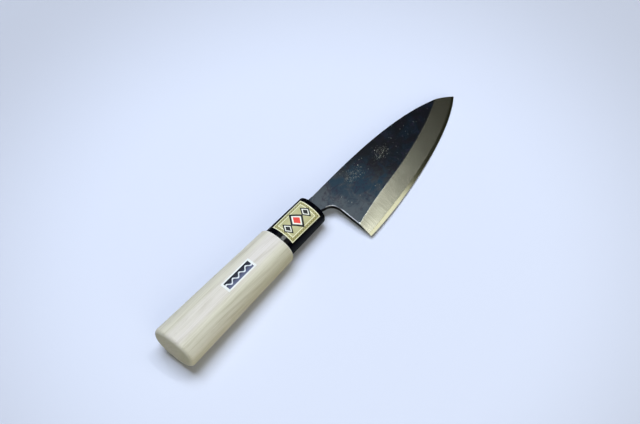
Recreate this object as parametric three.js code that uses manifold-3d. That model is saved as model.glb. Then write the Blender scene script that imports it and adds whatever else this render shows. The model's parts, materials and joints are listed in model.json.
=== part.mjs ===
// A small Japanese fish knife: a single-bevel laminated blade, whose tang is pushed into an
// oval wooden handle with a moulded plastic ferrule. It lies on its flat side, as on a table.
//
// Sizes are in millimetres. Knife axes: x runs along the handle from the ferrule's front face
// to the tip, y points to the spine and z to the bevelled side of the blade.

import * as THREE from 'three';
import { mergeVertices } from 'three/addons/utils/BufferGeometryUtils.js';
import Module from 'manifold-3d';

// Blade outline. Heights and depths are measured from the handle's centre line.
const BLADE_LENGTH = 105; // heel to tip, along the knife
const NECK_LENGTH = 8.9; // ferrule front to heel
const SPINE_HEIGHT = 5.4;
const SPINE_STRAIGHT = 24; // straight spine ahead of the ferrule
const SPINE_EASE = 18.9; // how far the curved spine keeps its straight direction
const SPINE_TIP_RUN = 21.5; // direction of the spine where it comes down to the tip
const SPINE_TIP_RISE = 16.7;
const HEEL_DEPTH = 35.1;
const EDGE_HEEL_RUN = 15.6; // direction of the cutting edge at the heel
const EDGE_HEEL_FALL = 0.5;
const EDGE_TIP_RUN = 26.1; // direction of the cutting edge at the tip
const EDGE_TIP_FALL = 18.3;
const TIP_DEPTH = 11.5;
const HEEL_RAKE = 0.9; // how far the heel's back edge leans back over its height
const NECK_DEPTH = 3.4; // underside of the neck at the ferrule
const NECK_FALL = 3.4; // how far the neck's underside falls before the heel's back edge
const CHOIL_NECK_RUN = 5; // length of the finger notch's curve along the neck
const CHOIL_HEEL_RUN = 5.2; // and down the heel's back edge

// Blade section
const BLADE_THICKNESS = 3;
const EDGE_THICKNESS = 0.15;
const BEVEL_HEIGHT = 12; // height of the ground bevel above the cutting edge
const BEVEL_HEEL_HEIGHT = 8.8; // its height at the heel
const BEVEL_EASE = 30; // length from the heel over which it reaches its full height
const STEEL_THICKNESS = 0.72; // hard steel on the back of the blade, at the heel
const STEEL_TIP_THICKNESS = 0.52; // and at the tip
const STEEL_REAR = 2.4; // hard steel starts this far ahead of the ferrule
const WELD_GAP = 0.05;

// Tang
const TANG_LENGTH = 78.6; // ferrule front to the tang's end
const TANG_END_HEIGHT = 3;
const TANG_END_DEPTH = 2;
const TANG_CLEARANCE = 0.3;

// Wooden handle
const WOOD_LENGTH = 86.6; // ferrule to butt
const BUTT_WIDTH = 28.6;
const BUTT_THICKNESS = 18.8;
const SHOULDER_WIDTH = 23.3;
const SHOULDER_THICKNESS = 18.5;
const BUTT_ROUND = 2.6;
const SHOULDER_ROUND = 1.3;
const WOOD_DROP = 0.38; // the wood sits this far towards the cutting edge
const GLUE_GAP = 0.1;

// Ferrule
const FERRULE_LENGTH = 30.4;
const FERRULE_REAR_WIDTH = 19.8;
const FERRULE_REAR_THICKNESS = 15.7;
const FERRULE_FRONT_WIDTH = 18.6;
const FERRULE_FRONT_THICKNESS = 14.7;
const FERRULE_ROUND = 1.3; // front edge
const FERRULE_REAR_ROUND = 0.3;
const FERRULE_WALL = 1.5;
const FERRULE_FRONT_WALL = 3;

// Resin seal around the tang, let into the ferrule's front face
const SEAL_MARGIN = 1.2; // resin beyond the tang on each side
const SEAL_DEPTH = 1.6;
const SEAL_CORNER = 0.9;
const SEAL_GAP = 0.05;

// Labels
const PAPER_THICKNESS = 0.12;
const PAPER_GAP = 0.04;
const FERRULE_LABEL_LENGTH = 23.7;
const FERRULE_LABEL_WIDTH = 14.5;
const FERRULE_LABEL_MIDDLE = -0.4; // stuck on a little towards the cutting edge
const FERRULE_LABEL_SETBACK = 3.3; // behind the ferrule's front face
const HANDLE_LABEL_LENGTH = 22.6;
const HANDLE_LABEL_WIDTH = 6.6;
const HANDLE_LABEL_MIDDLE = 0;
const HANDLE_LABEL_SETBACK = 21.5; // behind the ferrule

// Rest pose: the blade's weight rolls the knife until its edge meets the surface.
const REST_ROLL = THREE.MathUtils.degToRad(5.8);

// Finishes
const FINISHES = {
  handle: { color: 0xdcd9cb, roughness: 0.6, metalness: 0 },
  ferrule: { color: 0x101116, roughness: 0.2, metalness: 0 },
  tang_seal: { color: 0x17151a, roughness: 0.5, metalness: 0 },
  ferrule_label: { color: 0xbdb67a, roughness: 0.4, metalness: 0.3 },
  handle_label: { color: 0x2a3150, roughness: 0.45, metalness: 0 },
  blade_body: { color: 0x262b38, roughness: 0.5, metalness: 0.6 },
  cutting_steel: { color: 0xb9b6a2, roughness: 0.3, metalness: 1 },
};

// Fineness of the round forms
const OVAL_POWER = 2.3; // a flattened oval, fuller than an ellipse
const OVAL_SEGMENTS = 160;
const ROUND_STEPS = 5;
const OUTLINE_STEPS = 80;
const CUT_MARGIN = 2; // how far cutting bodies reach past what they cut
const SETTLE_PASSES = 8;

const HEEL_X = NECK_LENGTH;
const TIP_X = NECK_LENGTH + BLADE_LENGTH;
const BUTT_X = -FERRULE_LENGTH - WOOD_LENGTH;
const BACK_Z = -BLADE_THICKNESS / 2;
const FRONT_Z = BLADE_THICKNESS / 2;

const wasm = await Module();
wasm.setup();

// Solids for cutting and joining

function solidOf(geometry) {
  const bare = geometry.clone();
  bare.deleteAttribute('normal');
  bare.deleteAttribute('uv');
  const merged = mergeVertices(bare);
  const vertProperties = new Float32Array(merged.attributes.position.array);
  const triVerts = new Uint32Array(merged.index.array);
  return new wasm.Manifold(new wasm.Mesh({ numProp: 3, vertProperties, triVerts }));
}

function geometryOf(solid) {
  const mesh = solid.getMesh();
  const geometry = new THREE.BufferGeometry();
  geometry.setAttribute('position', new THREE.BufferAttribute(mesh.vertProperties, mesh.numProp));
  geometry.setIndex(new THREE.BufferAttribute(mesh.triVerts, 1));
  geometry.computeVertexNormals();
  return geometry;
}

function boxSolid(min, max) {
  const size = new THREE.Vector3().subVectors(max, min);
  const geometry = new THREE.BoxGeometry(size.x, size.y, size.z);
  const centre = new THREE.Vector3().addVectors(min, max).multiplyScalar(0.5);
  return solidOf(geometry.translate(centre.x, centre.y, centre.z));
}

// Ovals along the handle

function ovalPoint(angle, width, thickness) {
  const across = Math.cos(angle);
  const up = Math.sin(angle);
  const power = 2 / OVAL_POWER;
  return {
    y: (width / 2) * Math.sign(across) * Math.abs(across) ** power,
    z: (thickness / 2) * Math.sign(up) * Math.abs(up) ** power,
  };
}

// Turns a unit profile, then gives each ring its own middle, width and thickness.
function ovalSolid(rings) {
  const first = rings[0];
  const last = rings[rings.length - 1];
  const profile = [
    new THREE.Vector2(0, first.x),
    ...rings.map((ring) => new THREE.Vector2(1, ring.x)),
    new THREE.Vector2(0, last.x),
  ];
  const geometry = new THREE.LatheGeometry(profile, OVAL_SEGMENTS);
  const position = geometry.attributes.position;
  for (let i = 0; i < position.count; i++) {
    const row = i % profile.length;
    const onAxis = row === 0 || row === profile.length - 1;
    const ring = rings[THREE.MathUtils.clamp(row - 1, 0, rings.length - 1)];
    const segment = Math.floor(i / profile.length) % OVAL_SEGMENTS;
    const angle = (2 * Math.PI * segment) / OVAL_SEGMENTS;
    const point = ovalPoint(angle, ring.width, ring.thickness);
    position.setXYZ(i, ring.x, ring.y + (onAxis ? 0 : point.y), onAxis ? 0 : point.z);
  }
  return solidOf(geometry);
}

// Rings of a tapered stretch with a rounded edge at each end.
function taperRings(rear, front, rearRound, frontRound) {
  const rings = [];
  const between = (x, inset) => {
    const share = (x - rear.x) / (front.x - rear.x);
    rings.push({
      x,
      y: rear.y,
      width: THREE.MathUtils.lerp(rear.width, front.width, share) - 2 * inset,
      thickness: THREE.MathUtils.lerp(rear.thickness, front.thickness, share) - 2 * inset,
    });
  };
  const turn = Math.PI / 2 / ROUND_STEPS;
  for (let step = 0; step <= ROUND_STEPS; step++) {
    const angle = step * turn;
    between(rear.x + rearRound * (1 - Math.cos(angle)), rearRound * (1 - Math.sin(angle)));
  }
  for (let step = ROUND_STEPS; step >= 0; step--) {
    const angle = step * turn;
    between(front.x - frontRound * (1 - Math.cos(angle)), frontRound * (1 - Math.sin(angle)));
  }
  return rings;
}

function grown(end, amount) {
  return { ...end, width: end.width + 2 * amount, thickness: end.thickness + 2 * amount };
}

// Blade

function edgeCurve() {
  return new THREE.CubicBezierCurve(
    new THREE.Vector2(TIP_X, -TIP_DEPTH),
    new THREE.Vector2(TIP_X - EDGE_TIP_RUN, -TIP_DEPTH - EDGE_TIP_FALL),
    new THREE.Vector2(HEEL_X + EDGE_HEEL_RUN, -HEEL_DEPTH - EDGE_HEEL_FALL),
    new THREE.Vector2(HEEL_X, -HEEL_DEPTH),
  );
}

function bladeOutline() {
  const corner = new THREE.Vector2(HEEL_X + HEEL_RAKE, -NECK_DEPTH - NECK_FALL);
  const neck = new THREE.Vector2(0, -NECK_DEPTH);
  const heel = new THREE.Vector2(HEEL_X, -HEEL_DEPTH);
  const alongNeck = new THREE.Vector2().subVectors(neck, corner).setLength(CHOIL_NECK_RUN).add(corner);
  const alongHeel = new THREE.Vector2().subVectors(heel, corner).setLength(CHOIL_HEEL_RUN).add(corner);
  const outline = new THREE.Shape();
  outline.moveTo(-TANG_LENGTH, TANG_END_HEIGHT);
  outline.lineTo(-TANG_LENGTH, -TANG_END_DEPTH);
  outline.lineTo(neck.x, neck.y);
  outline.lineTo(alongNeck.x, alongNeck.y);
  outline.quadraticCurveTo(corner.x, corner.y, alongHeel.x, alongHeel.y);
  outline.lineTo(heel.x, heel.y);
  const edge = edgeCurve();
  outline.bezierCurveTo(edge.v2.x, edge.v2.y, edge.v1.x, edge.v1.y, edge.v0.x, edge.v0.y);
  outline.bezierCurveTo(
    TIP_X - SPINE_TIP_RUN, -TIP_DEPTH + SPINE_TIP_RISE,
    SPINE_STRAIGHT + SPINE_EASE, SPINE_HEIGHT,
    SPINE_STRAIGHT, SPINE_HEIGHT,
  );
  outline.lineTo(0, SPINE_HEIGHT);
  return outline;
}

function bevelHeight(x) {
  const left = Math.max(0, 1 - (x - HEEL_X) / BEVEL_EASE);
  return BEVEL_HEIGHT - (BEVEL_HEIGHT - BEVEL_HEEL_HEIGHT) * left ** 2;
}

// What the grinding wheel takes away: everything above the slope from the bevel line on the
// front face down to the cutting edge.
function bevelCutter() {
  const edge = edgeCurve().getPoints(OUTLINE_STEPS).reverse();
  const first = edge[0].clone().lerp(edge[1], -1);
  const last = edge[OUTLINE_STEPS].clone().lerp(edge[OUTLINE_STEPS - 1], -1);
  const rows = [first, ...edge, last];
  const edgeZ = BACK_Z + EDGE_THICKNESS;
  const topZ = FRONT_Z + CUT_MARGIN;
  const shape = new THREE.Shape([
    new THREE.Vector2(0, 0), new THREE.Vector2(1, 0), new THREE.Vector2(1, 1), new THREE.Vector2(0, 1),
  ]);
  const geometry = new THREE.ExtrudeGeometry(shape, {
    depth: rows.length - 1, steps: rows.length - 1, bevelEnabled: false,
  });
  const position = geometry.attributes.position;
  for (let i = 0; i < position.count; i++) {
    const row = rows[Math.round(position.getZ(i))];
    const height = bevelHeight(row.x);
    const slope = (FRONT_Z - edgeZ) / height;
    const inner = position.getX(i) > 0;
    const upper = position.getY(i) > 0;
    const rise = inner ? height + CUT_MARGIN : -CUT_MARGIN;
    position.setXYZ(i, row.x, row.y + rise, upper ? topZ + slope * CUT_MARGIN : edgeZ + slope * rise);
  }
  return solidOf(geometry);
}

function groundBlade() {
  const plate = new THREE.ExtrudeGeometry(bladeOutline(), {
    depth: BLADE_THICKNESS, bevelEnabled: false, curveSegments: OUTLINE_STEPS,
  });
  return solidOf(plate.translate(0, 0, BACK_Z)).subtract(bevelCutter());
}

// The space of the hard-steel layer on the back of the blade, which thins towards the tip.
function steelSpace(gap) {
  const layerTop = (x) => {
    const share = (x - HEEL_X) / BLADE_LENGTH;
    return BACK_Z + THREE.MathUtils.lerp(STEEL_THICKNESS, STEEL_TIP_THICKNESS, share) + gap;
  };
  const rearX = STEEL_REAR - gap;
  const frontX = TIP_X + CUT_MARGIN;
  const lowY = -HEEL_DEPTH - CUT_MARGIN - EDGE_HEEL_FALL;
  const highY = SPINE_HEIGHT + CUT_MARGIN;
  const side = new THREE.Shape([
    new THREE.Vector2(rearX, BACK_Z - CUT_MARGIN),
    new THREE.Vector2(frontX, BACK_Z - CUT_MARGIN),
    new THREE.Vector2(frontX, layerTop(frontX)),
    new THREE.Vector2(rearX, layerTop(rearX)),
  ]);
  const geometry = new THREE.ExtrudeGeometry(side, { depth: highY - lowY, bevelEnabled: false });
  return solidOf(geometry.rotateX(Math.PI / 2).translate(0, highY, 0));
}

// The tang's outline grown by its clearance, from its end to past the ferrule's front.
function tangSpace(clearance) {
  const outline = new THREE.Shape();
  outline.moveTo(-TANG_LENGTH - clearance, TANG_END_HEIGHT + clearance);
  outline.lineTo(-TANG_LENGTH - clearance, -TANG_END_DEPTH - clearance);
  outline.lineTo(0, -NECK_DEPTH - clearance);
  outline.lineTo(CUT_MARGIN, -NECK_DEPTH - clearance);
  outline.lineTo(CUT_MARGIN, SPINE_HEIGHT + clearance);
  outline.lineTo(0, SPINE_HEIGHT + clearance);
  const geometry = new THREE.ExtrudeGeometry(outline, {
    depth: BLADE_THICKNESS + 2 * clearance, bevelEnabled: false,
  });
  return solidOf(geometry.translate(0, 0, BACK_Z - clearance));
}

// Handle and ferrule

const butt = { x: BUTT_X, y: -WOOD_DROP, width: BUTT_WIDTH, thickness: BUTT_THICKNESS };
const shoulder = {
  x: -FERRULE_LENGTH - GLUE_GAP, y: -WOOD_DROP, width: SHOULDER_WIDTH, thickness: SHOULDER_THICKNESS,
};
const ferruleRear = {
  x: -FERRULE_LENGTH, y: 0, width: FERRULE_REAR_WIDTH, thickness: FERRULE_REAR_THICKNESS,
};
const ferruleFront = { x: 0, y: 0, width: FERRULE_FRONT_WIDTH, thickness: FERRULE_FRONT_THICKNESS };

function woodRings(growth) {
  return taperRings(grown(butt, growth), grown(shoulder, growth), BUTT_ROUND, SHOULDER_ROUND);
}

// Rings of the ferrule's own taper between two places, set inwards.
function ferruleStretch(rearX, frontX, inset) {
  return [rearX, frontX].map((x) => {
    const share = (x - ferruleRear.x) / (ferruleFront.x - ferruleRear.x);
    return {
      x,
      y: 0,
      width: THREE.MathUtils.lerp(ferruleRear.width, ferruleFront.width, share) - 2 * inset,
      thickness: THREE.MathUtils.lerp(ferruleRear.thickness, ferruleFront.thickness, share) - 2 * inset,
    };
  });
}

function ferruleBody(growth) {
  const rear = grown(ferruleRear, growth);
  const front = grown(ferruleFront, growth);
  return ovalSolid(taperRings(rear, front, FERRULE_REAR_ROUND, FERRULE_ROUND));
}

function woodHandle() {
  const tenon = ferruleStretch(shoulder.x, -FERRULE_FRONT_WALL - GLUE_GAP, FERRULE_WALL + GLUE_GAP);
  const wood = ovalSolid([...woodRings(0), ...tenon]);
  return wood.subtract(tangSpace(TANG_CLEARANCE));
}

// A rounded slot around the tang, let into the ferrule's front face.
function sealSpace(inset, rearX, frontX) {
  const top = SPINE_HEIGHT + SEAL_MARGIN - inset;
  const bottom = -NECK_DEPTH - SEAL_MARGIN + inset;
  const half = BLADE_THICKNESS / 2 + SEAL_MARGIN - inset;
  const round = SEAL_CORNER - inset;
  const outline = new THREE.Shape();
  outline.absarc(top - round, half - round, round, 0, Math.PI / 2);
  outline.absarc(bottom + round, half - round, round, Math.PI / 2, Math.PI);
  outline.absarc(bottom + round, -half + round, round, Math.PI, 1.5 * Math.PI);
  outline.absarc(top - round, -half + round, round, 1.5 * Math.PI, 2 * Math.PI);
  const geometry = new THREE.ExtrudeGeometry(outline, {
    depth: frontX - rearX, bevelEnabled: false, curveSegments: ROUND_STEPS,
  });
  geometry.applyMatrix4(new THREE.Matrix4().makeBasis(
    new THREE.Vector3(0, 1, 0), new THREE.Vector3(0, 0, 1), new THREE.Vector3(1, 0, 0),
  ));
  return solidOf(geometry.translate(rearX, 0, 0));
}

function plasticFerrule() {
  const cavity = ferruleStretch(ferruleRear.x - CUT_MARGIN, -FERRULE_FRONT_WALL, FERRULE_WALL);
  return ferruleBody(0)
    .subtract(ovalSolid(cavity))
    .subtract(tangSpace(TANG_CLEARANCE))
    .subtract(sealSpace(0, -SEAL_DEPTH, CUT_MARGIN));
}

function tangSeal() {
  return sealSpace(SEAL_GAP, -SEAL_DEPTH + SEAL_GAP, 0).subtract(tangSpace(SEAL_GAP));
}

// Labels: the skin of the oval that they are stuck on, trimmed to their outline.

function labelWindow(frontX, length, middle, width) {
  return boxSolid(
    new THREE.Vector3(frontX - length, middle - width / 2, 0),
    new THREE.Vector3(frontX, middle + width / 2, BUTT_THICKNESS),
  );
}

function ferruleLabel() {
  const skin = ferruleBody(PAPER_GAP + PAPER_THICKNESS).subtract(ferruleBody(PAPER_GAP));
  const frontX = -FERRULE_LABEL_SETBACK;
  return skin.intersect(
    labelWindow(frontX, FERRULE_LABEL_LENGTH, FERRULE_LABEL_MIDDLE, FERRULE_LABEL_WIDTH),
  );
}

function handleLabel() {
  const outer = ovalSolid(woodRings(PAPER_GAP + PAPER_THICKNESS));
  const skin = outer.subtract(ovalSolid(woodRings(PAPER_GAP)));
  const frontX = -FERRULE_LENGTH - HANDLE_LABEL_SETBACK;
  return skin.intersect(
    labelWindow(frontX, HANDLE_LABEL_LENGTH, HANDLE_LABEL_MIDDLE, HANDLE_LABEL_WIDTH),
  );
}

// Assembly

function piece(name, solid) {
  const material = new THREE.MeshStandardMaterial({ name, ...FINISHES[name] });
  const mesh = new THREE.Mesh(geometryOf(solid), material);
  mesh.name = name;
  return mesh;
}

const blade = groundBlade();
const handleSide = [
  piece('handle', woodHandle()),
  piece('ferrule', plasticFerrule()),
  piece('tang_seal', tangSeal()),
  piece('ferrule_label', ferruleLabel()),
  piece('handle_label', handleLabel()),
];
const bladeSide = [
  piece('blade_body', blade.subtract(steelSpace(WELD_GAP))),
  piece('cutting_steel', blade.intersect(steelSpace(0))),
];

// Points of the rolled knife seen from its spine: x along it, y up.
function rolledPoints(meshes) {
  const roll = new THREE.Matrix4().makeRotationX(REST_ROLL);
  const points = [];
  for (const mesh of meshes) {
    const position = mesh.geometry.attributes.position;
    for (let i = 0; i < position.count; i++) {
      const point = new THREE.Vector3().fromBufferAttribute(position, i).applyMatrix4(roll);
      points.push(new THREE.Vector2(point.x, point.z));
    }
  }
  return points;
}

// The pitch at which the handle and the blade both touch the surface that the knife lies on:
// the slope of the line that passes under both and touches each of them.
function restPitch() {
  const rear = rolledPoints(handleSide);
  const front = rolledPoints(bladeSide).filter((point) => point.x > HEEL_X);
  const slope = (from, to) => (to.y - from.y) / (to.x - from.x);
  let rearTouch = rear[0];
  let frontTouch = front[0];
  for (let pass = 0; pass < SETTLE_PASSES; pass++) {
    frontTouch = front.reduce((a, b) => (slope(rearTouch, b) < slope(rearTouch, a) ? b : a));
    rearTouch = rear.reduce((a, b) => (slope(b, frontTouch) > slope(a, frontTouch) ? b : a));
  }
  return Math.atan(slope(rearTouch, frontTouch));
}

const knife = new THREE.Group();
knife.add(...handleSide, ...bladeSide);
knife.rotation.set(REST_ROLL, restPitch(), 0, 'YXZ');

const root = new THREE.Group();
root.add(knife);
root.updateMatrixWorld(true);
const bounds = new THREE.Box3().setFromObject(root, true);
const middle = bounds.getCenter(new THREE.Vector3());
knife.position.set(-middle.x, -middle.y, -bounds.min.z);

export default root;
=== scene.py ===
"""Looks of a small Japanese fish knife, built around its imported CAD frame.

Pieces are modelled in millimetres on the knife's own axes, the same as in the part's source:
x runs from the ferrule's front face to the tip, y to the spine and z to the bevelled side.
set_down() then puts each finished piece where the knife lies in the frame.
"""

import json
import math

import bmesh
import bpy
from mathutils import Matrix, Vector


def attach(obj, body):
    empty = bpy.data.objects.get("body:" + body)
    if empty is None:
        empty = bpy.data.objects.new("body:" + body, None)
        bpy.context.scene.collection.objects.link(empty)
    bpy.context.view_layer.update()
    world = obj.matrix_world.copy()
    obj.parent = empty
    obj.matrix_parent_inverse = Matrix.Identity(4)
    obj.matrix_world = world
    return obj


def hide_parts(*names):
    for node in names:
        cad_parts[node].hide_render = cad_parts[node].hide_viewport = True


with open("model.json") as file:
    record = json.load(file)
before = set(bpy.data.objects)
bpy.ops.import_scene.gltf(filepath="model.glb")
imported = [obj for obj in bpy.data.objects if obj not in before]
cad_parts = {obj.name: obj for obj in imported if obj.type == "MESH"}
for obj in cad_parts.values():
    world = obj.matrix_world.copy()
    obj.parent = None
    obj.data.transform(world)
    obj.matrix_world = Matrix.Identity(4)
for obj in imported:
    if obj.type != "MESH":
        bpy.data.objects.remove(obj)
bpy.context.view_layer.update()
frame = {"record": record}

MM = 0.001

# Blade outline
BLADE_LENGTH = 105
NECK_LENGTH = 8.9
SPINE_HEIGHT = 5.4
SPINE_STRAIGHT = 24
SPINE_EASE = 18.9
SPINE_TIP_RUN = 21.5
SPINE_TIP_RISE = 16.7
HEEL_DEPTH = 35.1
EDGE_HEEL_RUN = 15.6
EDGE_HEEL_FALL = 0.5
EDGE_TIP_RUN = 26.1
EDGE_TIP_FALL = 18.3
TIP_DEPTH = 11.5
HEEL_RAKE = 0.9
NECK_DEPTH = 3.4
NECK_FALL = 3.4
CHOIL_NECK_RUN = 5
CHOIL_HEEL_RUN = 5.2

# Blade section
BLADE_THICKNESS = 3
EDGE_THICKNESS = 0.15
BEVEL_HEIGHT = 12
BEVEL_HEEL_HEIGHT = 8.8
BEVEL_EASE = 30
STEEL_THICKNESS = 0.72
STEEL_TIP_THICKNESS = 0.52
STEEL_REAR = 2.4
WELD_GAP = 0.015
RIM_ROUND = 0.36  # rubbed-down rims of spine, finger notch and heel
RIM_START = 1  # rims stay sharp this close to the ferrule
RIM_STOP = 3  # and this close to the tip
RIM_CLEAR = 0.5  # and this close to the cutting edge
LINE_ROUND = 0.14  # bevel line
HOLLOW_DEPTH = 0.28  # hollow ground into the back
HOLLOW_EDGE = 3.2  # flat left around it along the cutting edge
HOLLOW_SPINE = 2.2  # and along the spine
HOLLOW_HEEL = 3.5
HOLLOW_HEEL_EASE = 8  # how soon it is full from the heel,
HOLLOW_TIP_EASE = 3  # and from the tip
HOLLOW_SCALE = 6  # how soon scale covers it

# Tang
TANG_LENGTH = 78.6
TANG_END_HEIGHT = 3
TANG_END_DEPTH = 2
TANG_CLEARANCE = 0.3

# Wooden handle
WOOD_LENGTH = 86.6
BUTT_WIDTH = 28.6
BUTT_THICKNESS = 18.8
SHOULDER_WIDTH = 23.3
SHOULDER_THICKNESS = 18.5
BUTT_ROUND = 2.6
SHOULDER_ROUND = 1.3
WOOD_DROP = 0.38  # the wood sits this far towards the cutting edge
GLUE_GAP = 0.1

# Ferrule
FERRULE_LENGTH = 30.4
FERRULE_REAR_WIDTH = 19.8
FERRULE_REAR_THICKNESS = 15.7
FERRULE_FRONT_WIDTH = 18.6
FERRULE_FRONT_THICKNESS = 14.7
FERRULE_ROUND = 1.3
FERRULE_REAR_ROUND = 0.3
FERRULE_WALL = 1.5
FERRULE_FRONT_WALL = 3

# Resin around the tang
SEAL_MARGIN = 1.2
SEAL_DEPTH = 1.6
SEAL_CORNER = 0.9
SEAL_GAP = 0.05
SEAL_DISH = 0.35  # how far the cast resin sinks between tang and slot
DISH_STEPS = (0.35, 0.65)  # shares of that depth and of the way in, one inset each

# Labels
PAPER_THICKNESS = 0.12
PAPER_GAP = 0.04
FERRULE_LABEL_LENGTH = 23.7
FERRULE_LABEL_WIDTH = 14.5
FERRULE_LABEL_MIDDLE = -0.4
FERRULE_LABEL_SETBACK = 3.3
HANDLE_LABEL_LENGTH = 22.6
HANDLE_LABEL_WIDTH = 6.6
HANDLE_LABEL_MIDDLE = 0
HANDLE_LABEL_SETBACK = 21.5

# Fineness of the meshes
OVAL_POWER = 2.3
OVAL_POINTS = 128
ROUND_STEPS = 8
BLADE_ROWS = 64
BEVEL_COLUMNS = 6
LOWER_COLUMNS = 8
UPPER_COLUMNS = 8
CHOIL_ROWS = 14
LABEL_COLUMNS = 32
LABEL_ROWS = 4
ARC_STEPS = 400  # steps in which an oval's arc is measured
CURVE_HALVINGS = 48  # halvings in a search along a curve
LEAN_FADE = 20  # length over which the blade's rows turn upright from the heel's lean
CUT_MARGIN = 2
MERGE_DISTANCE = 0.0005
PLACE_DIGITS = 3  # points that agree to this many digits are the same
LINE_SEGMENTS = 2
RIM_SEGMENTS = 3
NORMAL_WEIGHT = 100
SMOOTH_ANGLE = 30
STEEL_SMOOTH_ANGLE = 8

# Which faces and edges are meant, by normal and angle
FLAT_NORMAL = 0.995
FRONT_NORMAL = 0.9
SIDE_NORMAL = 0.5
RIM_ANGLE = math.radians(45)
LINE_ANGLES = (math.radians(5), math.radians(40))

HEEL_X = NECK_LENGTH
TIP_X = NECK_LENGTH + BLADE_LENGTH
BUTT_X = -FERRULE_LENGTH - WOOD_LENGTH
BACK_Z = -BLADE_THICKNESS / 2
FRONT_Z = BLADE_THICKNESS / 2
EDGE_Z = BACK_Z + EDGE_THICKNESS
BACK_LIMIT_Z = EDGE_Z - 0.1  # points of the back lie below this
STEEL_TAPER = (STEEL_THICKNESS - STEEL_TIP_THICKNESS) / BLADE_LENGTH


def knife_axes(record):
    """Where the knife's own axes lie in the frame, from the record's two flat faces."""
    mounts = {mount["name"]: mount for mount in record["mounts"]}
    along = -Vector(mounts["butt_face"]["axis"]).normalized()
    up = -Vector(mounts["blade_back"]["axis"])
    up = (up - along * up.dot(along)).normalized()
    turn = Matrix((along, up.cross(along), up)).transposed().to_4x4()
    origin = Vector(mounts["butt_face"]["pos_m"]) - along * BUTT_X * MM
    return Matrix.Translation(origin) @ turn


KNIFE = knife_axes(frame["record"])


# Modelling

def named(name):
    """The primitive that was just added, under its piece's name."""
    piece = bpy.context.active_object
    piece.name = name
    piece.data.name = name
    return piece


def only(piece):
    bpy.ops.object.select_all(action="DESELECT")
    piece.select_set(True)
    bpy.context.view_layer.objects.active = piece


def edit(piece):
    only(piece)
    bpy.ops.object.mode_set(mode="EDIT")


def done():
    bpy.ops.object.mode_set(mode="OBJECT")


def pick(piece, kind, test):
    """In edit mode, selects the vertices, edges or faces that pass the test."""
    bpy.ops.mesh.select_mode(type=kind)
    bpy.ops.mesh.select_all(action="DESELECT")
    shape = bmesh.from_edit_mesh(piece.data)
    shape.normal_update()
    items = {"VERT": shape.verts, "EDGE": shape.edges, "FACE": shape.faces}[kind]
    for item in items:
        item.select_set(bool(test(item)))
    shape.select_flush_mode()
    bmesh.update_edit_mesh(piece.data)


def tidy_skin():
    """In edit mode: merged points, and faces that point outwards."""
    bpy.ops.mesh.select_all(action="SELECT")
    bpy.ops.mesh.remove_doubles(threshold=MERGE_DISTANCE)
    bpy.ops.mesh.normals_make_consistent(inside=False)


def apply_modifier(piece, kind, **settings):
    modifier = piece.modifiers.new(kind.lower(), kind)
    for name, value in settings.items():
        setattr(modifier, name, value)
    only(piece)
    bpy.ops.object.modifier_apply(modifier=modifier.name)


def cut(piece, cutter):
    apply_modifier(piece, "BOOLEAN", object=cutter, operation="DIFFERENCE", solver="EXACT")
    bpy.data.objects.remove(cutter)


def block(name, low, high):
    """A cube stretched between two corners, for cutting."""
    low, high = Vector(low), Vector(high)
    bpy.ops.mesh.primitive_cube_add(size=1, location=(low + high) / 2, scale=high - low)
    bpy.ops.object.transform_apply()
    return named(name)


def oval_point(angle, width, thickness):
    across, up = math.cos(angle), math.sin(angle)
    power = 2 / OVAL_POWER
    y = math.copysign(abs(across) ** power, across) * width / 2
    z = math.copysign(abs(up) ** power, up) * thickness / 2
    return y, z


def oval_solid(name, rings):
    """A filled circle, fuller than round, drawn out along the handle ring by ring.

    A ring is its place along the knife, its middle's height, its width and its thickness.
    """
    x, y, width, thickness = rings[0]
    bpy.ops.mesh.primitive_circle_add(vertices=OVAL_POINTS, radius=1, fill_type="NGON")
    body = named(name)
    for index, point in enumerate(body.data.vertices):
        across, up = oval_point(math.tau * index / OVAL_POINTS, width, thickness)
        point.co = (x, y + across, up)
    edit(body)
    bpy.ops.mesh.select_all(action="SELECT")
    for next_x, next_y, next_width, next_thickness in rings[1:]:
        step = (next_x - x, next_y - y, 0)
        bpy.ops.mesh.extrude_region_move(TRANSFORM_OT_translate={"value": step})
        stretch = (1, next_width / width, next_thickness / thickness)
        bpy.ops.transform.resize(value=stretch, center_override=(next_x, next_y, 0))
        x, y, width, thickness = next_x, next_y, next_width, next_thickness
    tidy_skin()
    done()
    return body


def ring_at(rear, front, x, inset=0):
    """Ring of a tapered stretch at a place along it, set inwards."""
    share = (x - rear[0]) / (front[0] - rear[0])
    y, width, thickness = (rear[i] + (front[i] - rear[i]) * share for i in (1, 2, 3))
    return x, y, width - 2 * inset, thickness - 2 * inset


def taper_rings(rear, front, rear_round, front_round):
    """Rings of a tapered stretch with a rounded edge at each end."""
    rings = []

    def add(x, inset):
        rings.append(ring_at(rear, front, x, inset))

    turns = [math.pi / 2 * step / ROUND_STEPS for step in range(ROUND_STEPS + 1)]
    for angle in turns:
        add(rear[0] + rear_round * (1 - math.cos(angle)), rear_round * (1 - math.sin(angle)))
    for angle in reversed(turns):
        add(front[0] - front_round * (1 - math.cos(angle)), front_round * (1 - math.sin(angle)))
    return rings


BUTT = (BUTT_X, -WOOD_DROP, BUTT_WIDTH, BUTT_THICKNESS)
SHOULDER = (-FERRULE_LENGTH - GLUE_GAP, -WOOD_DROP, SHOULDER_WIDTH, SHOULDER_THICKNESS)
FERRULE_REAR = (-FERRULE_LENGTH, 0, FERRULE_REAR_WIDTH, FERRULE_REAR_THICKNESS)
FERRULE_FRONT = (0, 0, FERRULE_FRONT_WIDTH, FERRULE_FRONT_THICKNESS)


def ferrule_rings(rear_x, front_x, inset):
    return [ring_at(FERRULE_REAR, FERRULE_FRONT, x, inset) for x in (rear_x, front_x)]


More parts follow.
